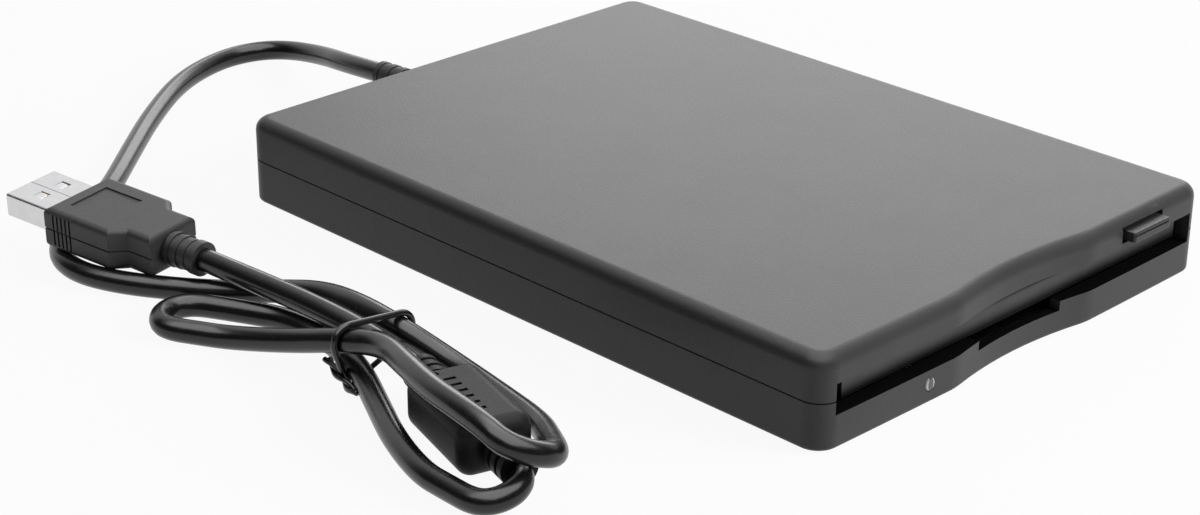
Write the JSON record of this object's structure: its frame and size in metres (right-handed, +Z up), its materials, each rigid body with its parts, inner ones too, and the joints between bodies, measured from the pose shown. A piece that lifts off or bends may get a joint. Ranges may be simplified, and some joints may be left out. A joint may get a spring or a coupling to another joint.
{
  "type": "external floppy disk drive",
  "caption": "Slim external USB floppy disk drive for 3.5 inch disks, with front slot, dust flap, eject button, sprung disk cage, spindle, stepped heads and a tied USB cord.",
  "frame": {"origin": "middle of the underside of the drive, on the plane of its feet, cord left out", "axes": "+Z up, disk slot towards -Y, +X to the right seen from the slot"},
  "size_m": [0.153, 0.2074, 0.017],
  "materials": {
    "case": "fine-grained charcoal ABS",
    "button": "charcoal ABS",
    "feet": "soft black",
    "screws": "zinc plated",
    "lens": "smoked translucent",
    "lamp": "translucent green",
    "flap": "black",
    "sheet": "galvanised sheet",
    "spring": "spring wire",
    "pcb": "green solder mask",
    "chip": "black moulding",
    "parts": "bare cans",
    "copper": "enamelled wire",
    "core": "laminated",
    "magnet": "dark ferrite",
    "bearing": "sintered",
    "rod": "polished steel",
    "carriage": "ivory moulding",
    "head": "ceramic grey",
    "ribbon": "white",
    "cord": "satin black PVC",
    "moulding": "soft black PVC",
    "shell": "bright nickel",
    "contact": "gold flash",
    "tongue": "white"
  },
  "bodies": {
    "base": {"bottom_case": "case", "top_cover": "case", "rubber_feet": "feet", "case_screws": "screws", "led_lens": "lens", "led_lamp": "lamp", "led_board": "pcb", "flap_spring": "spring", "chassis_frame": "sheet", "inner_screws": "screws", "top_shield": "sheet", "slide_guides": "screws", "eject_springs": "spring", "latch_pivot": "screws", "motor_board": "pcb", "spindle_bearing": "bearing", "stator_core": "core", "stator_coils": "copper", "guide_rods": "rod", "rail_cradles": "carriage", "track_sensor": "chip", "stepper_can": "parts", "stepper_bracket": "sheet", "screw_bearing": "carriage", "control_board": "pcb", "chips": "chip", "ribbon_connectors": "tongue", "ribbon_cable": "ribbon", "bridge_board": "pcb", "board_parts": "parts", "switch_bodies": "chip", "cord_leads": "ribbon", "strain_relief": "moulding", "usb_cord": "cord", "noise_choke": "moulding", "twist_tie": "cord", "plug_body": "moulding", "plug_shell": "shell", "plug_tongue": "tongue", "plug_contacts": "contact"},
    "slider": {"slide_plate": "sheet", "eject_button": "button"},
    "cage": {"disk_cage": "sheet", "cage_pins": "screws"},
    "lever": {"latch_lever": "sheet"},
    "carriage": {"head_carriage": "carriage", "lower_head": "head", "arm_pivot": "rod"},
    "arm": {"upper_arm": "sheet", "upper_head": "head"},
    "screw": {"lead_screw": "rod"},
    "rotor": {"rotor_cup": "sheet", "rotor_magnet": "magnet", "spindle_shaft": "rod", "hub_plate": "sheet", "drive_pin": "carriage"},
    "flap": {"dust_flap": "flap"},
    "plunger_write_protect": {"write_protect_plunger": "tongue"},
    "plunger_density": {"density_plunger": "tongue"},
    "plunger_disk_present": {"disk_present_plunger": "tongue"}
  },
  "joints": [
    {"name": "eject_slide", "type": "slide", "parent": "base", "child": "slider", "axis": [0, -1, 0], "range_m": [0, 0.006], "deforming": ["eject_springs"]},
    {"name": "holder_drop", "type": "slide", "parent": "base", "child": "cage", "axis": [0, 0, -1], "range_m": [0, 0.0019]},
    {"name": "latch_swing", "type": "hinge", "parent": "base", "child": "lever", "pos_m": [-0.03, 0.0409, 0.0123], "axis": [0, 0, 1], "range_deg": [0, 30]},
    {"name": "head_step", "type": "slide", "parent": "base", "child": "carriage", "axis": [0, -1, 0], "range_m": [0, 0.0148]},
    {"name": "head_arm_drop", "type": "hinge", "parent": "carriage", "child": "arm", "pos_m": [0, 0.0474, 0.0094], "axis": [1, 0, 0], "range_deg": [0, 8.5]},
    {"name": "lead_screw_turn", "type": "hinge", "parent": "base", "child": "screw", "pos_m": [-0.02, 0.0297, 0.0084], "axis": [0, 1, 0], "range_deg": [0, 1777]},
    {"name": "spindle_spin", "type": "hinge", "parent": "base", "child": "rotor", "pos_m": [0, -0.0171, 0.0052], "axis": [0, 0, 1], "continuous": true},
    {"name": "flap_swing", "type": "hinge", "parent": "base", "child": "flap", "pos_m": [0, -0.06785, 0.0115], "axis": [1, 0, 0], "range_deg": [0, 88], "stiffness_Nm_per_rad": 0.0002},
    {"name": "write_protect_press", "type": "slide", "parent": "base", "child": "plunger_write_protect", "axis": [0, 0, -1], "range_m": [0, 0.001], "stiffness_N_per_m": 120},
    {"name": "density_press", "type": "slide", "parent": "base", "child": "plunger_density", "axis": [0, 0, -1], "range_m": [0, 0.001], "stiffness_N_per_m": 120},
    {"name": "disk_present_press", "type": "slide", "parent": "base", "child": "plunger_disk_present", "axis": [0, 0, -1], "range_m": [0, 0.001], "stiffness_N_per_m": 120}
  ],
  "couplings": [
    {"joint": "holder_drop", "follows": "eject_slide", "ratio": 0.31667},
    {"joint": "latch_swing", "follows": "eject_slide", "rad_per_m": 87.266},
    {"joint": "head_arm_drop", "follows": "eject_slide", "rad_per_m": 24.726},
    {"joint": "lead_screw_turn", "follows": "head_step", "rad_per_m": 2094.4}
  ]
}
